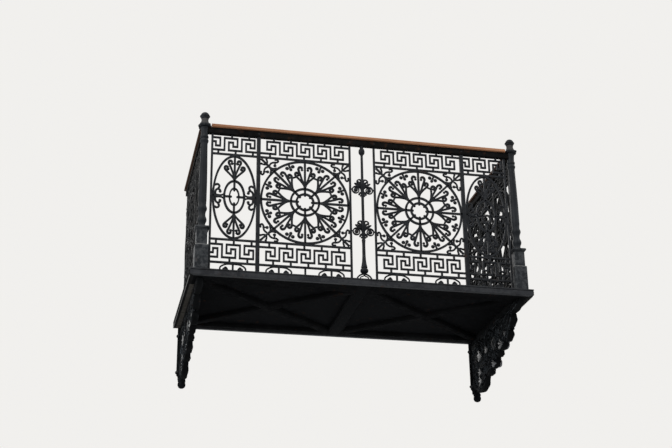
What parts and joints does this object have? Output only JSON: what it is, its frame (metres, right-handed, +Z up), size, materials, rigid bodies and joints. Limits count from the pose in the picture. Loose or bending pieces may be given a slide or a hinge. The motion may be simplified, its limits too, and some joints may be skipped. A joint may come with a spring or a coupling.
{
  "type": "wrought iron balcony",
  "caption": "Iron balcony with rosette and oval panels, key friezes, corner posts, a wooden handrail and a ribbed deck on two scrolled wall brackets.",
  "frame": {"origin": "middle of the wall beam's flat face against the wall, at half the height of the deck's edge", "axes": "+X along the wall to the right as seen from the street, +Y into the wall, +Z up"},
  "size_m": [2.284, 1.095, 1.622],
  "materials": {
    "railing_iron": "dark satin paint, dusty on top faces",
    "edge_iron": "dark grey paint, weathered",
    "deck_iron": "matt dark paint",
    "bracket_iron": "dark satin paint, dusty on top faces",
    "handrail_wood": "oiled reddish hardwood, worn pale on top"
  },
  "bodies": {
    "root": {"deck_plate": "deck_iron", "front_edge": "edge_iron", "left_edge": "edge_iron", "right_edge": "edge_iron", "wall_beam": "edge_iron", "middle_beam": "deck_iron", "left_bay_ribs": "deck_iron", "right_bay_ribs": "deck_iron", "left_bracket": "bracket_iron", "left_wall_plate": "bracket_iron", "left_pendant": "bracket_iron", "right_bracket": "bracket_iron", "right_wall_plate": "bracket_iron", "right_pendant": "bracket_iron", "left_plinth": "railing_iron", "left_post": "railing_iron", "left_finial": "railing_iron", "right_plinth": "railing_iron", "right_post": "railing_iron", "right_finial": "railing_iron", "left_stile": "railing_iron", "right_stile": "railing_iron", "left_centre_stile": "railing_iron", "right_centre_stile": "railing_iron", "front_left_oval": "railing_iron", "front_left_rosette": "railing_iron", "front_right_rosette": "railing_iron", "front_right_oval": "railing_iron", "left_side_stile": "railing_iron", "right_side_stile": "railing_iron", "left_wall_stile": "railing_iron", "right_wall_stile": "railing_iron", "left_side_oval": "railing_iron", "left_side_rosette": "railing_iron", "right_side_oval": "railing_iron", "right_side_rosette": "railing_iron", "centre_baluster": "railing_iron", "upper_boss": "railing_iron", "lower_boss": "railing_iron", "front_iron_rail": "railing_iron", "left_iron_rail": "railing_iron", "right_iron_rail": "railing_iron", "front_handrail": "handrail_wood", "left_handrail": "handrail_wood", "right_handrail": "handrail_wood"}
  },
  "joints": []
}
